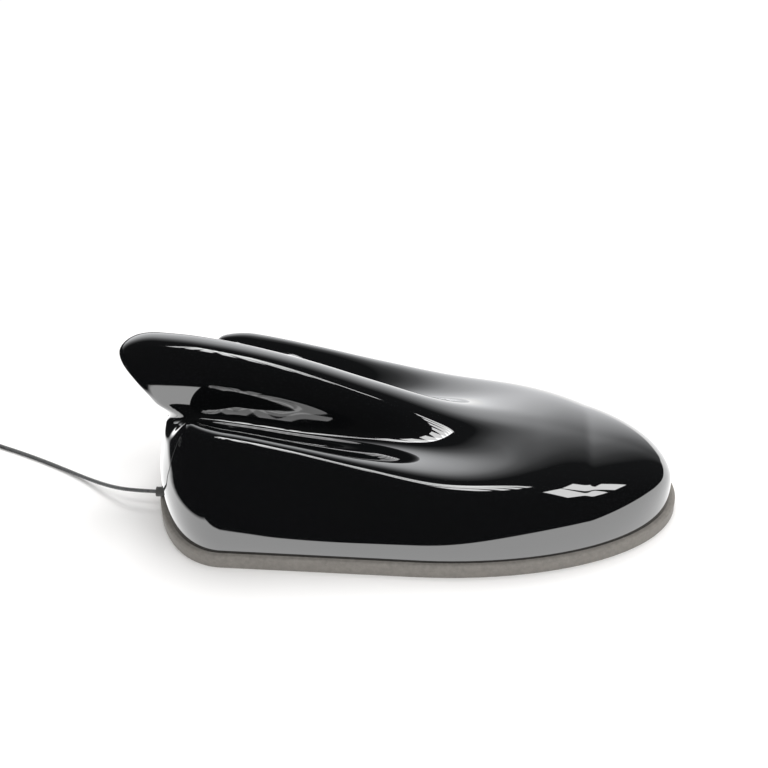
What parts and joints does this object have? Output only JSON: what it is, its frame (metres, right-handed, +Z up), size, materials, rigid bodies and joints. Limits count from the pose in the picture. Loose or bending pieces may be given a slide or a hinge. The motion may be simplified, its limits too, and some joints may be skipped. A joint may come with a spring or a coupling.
{
  "type": "shark-fin roof antenna",
  "caption": "Gloss black shark-fin car roof antenna on a rubber gasket, with patch antenna, upright fin board and a thin coaxial lead with a coiled end and connector.",
  "frame": {"origin": "middle of the gasket's underside, where it meets the roof", "axes": "+X towards the nose, +Z up out of the roof"},
  "size_m": [0.253, 0.0802, 0.0528],
  "materials": {
    "cover_gloss": "gloss black moulded ABS",
    "cast_alloy": "die-cast alloy, as cast",
    "seal_rubber": "matte rubber",
    "steel": "zinc-plated steel",
    "board_green": "solder-masked glass laminate",
    "ceramic": "fired ceramic",
    "silvering": "silver print",
    "brass": "bright brass",
    "foam": "closed-cell foam",
    "tinplate": "tin-plated steel",
    "chip_black": "moulded epoxy",
    "ferrite": "sintered ferrite",
    "copper": "enamelled copper wire",
    "lead_jacket": "thin black cable jacket",
    "plug_plastic": "moulded nylon"
  },
  "bodies": {
    "root": {"cover": "cover_gloss", "base_plate": "cast_alloy", "gasket": "seal_rubber", "cover_screws": "steel", "main_board": "board_green", "board_screws": "steel", "patch_ceramic": "ceramic", "patch_face": "silvering", "feed_pin": "brass", "foam_pad": "foam", "left_can": "tinplate", "right_can": "tinplate", "left_amplifier": "chip_black", "right_amplifier": "chip_black", "fin_board": "board_green", "radio_cap": "brass", "coil_core": "ferrite", "coil_winding": "copper", "lead_grommet": "seal_rubber", "lead_inside": "lead_jacket", "lead_clamp": "plug_plastic", "lead": "lead_jacket", "lead_loop": "lead_jacket", "lead_tie": "plug_plastic", "lead_end": "lead_jacket", "lead_plug": "plug_plastic", "plug_pin": "brass"}
  },
  "joints": []
}
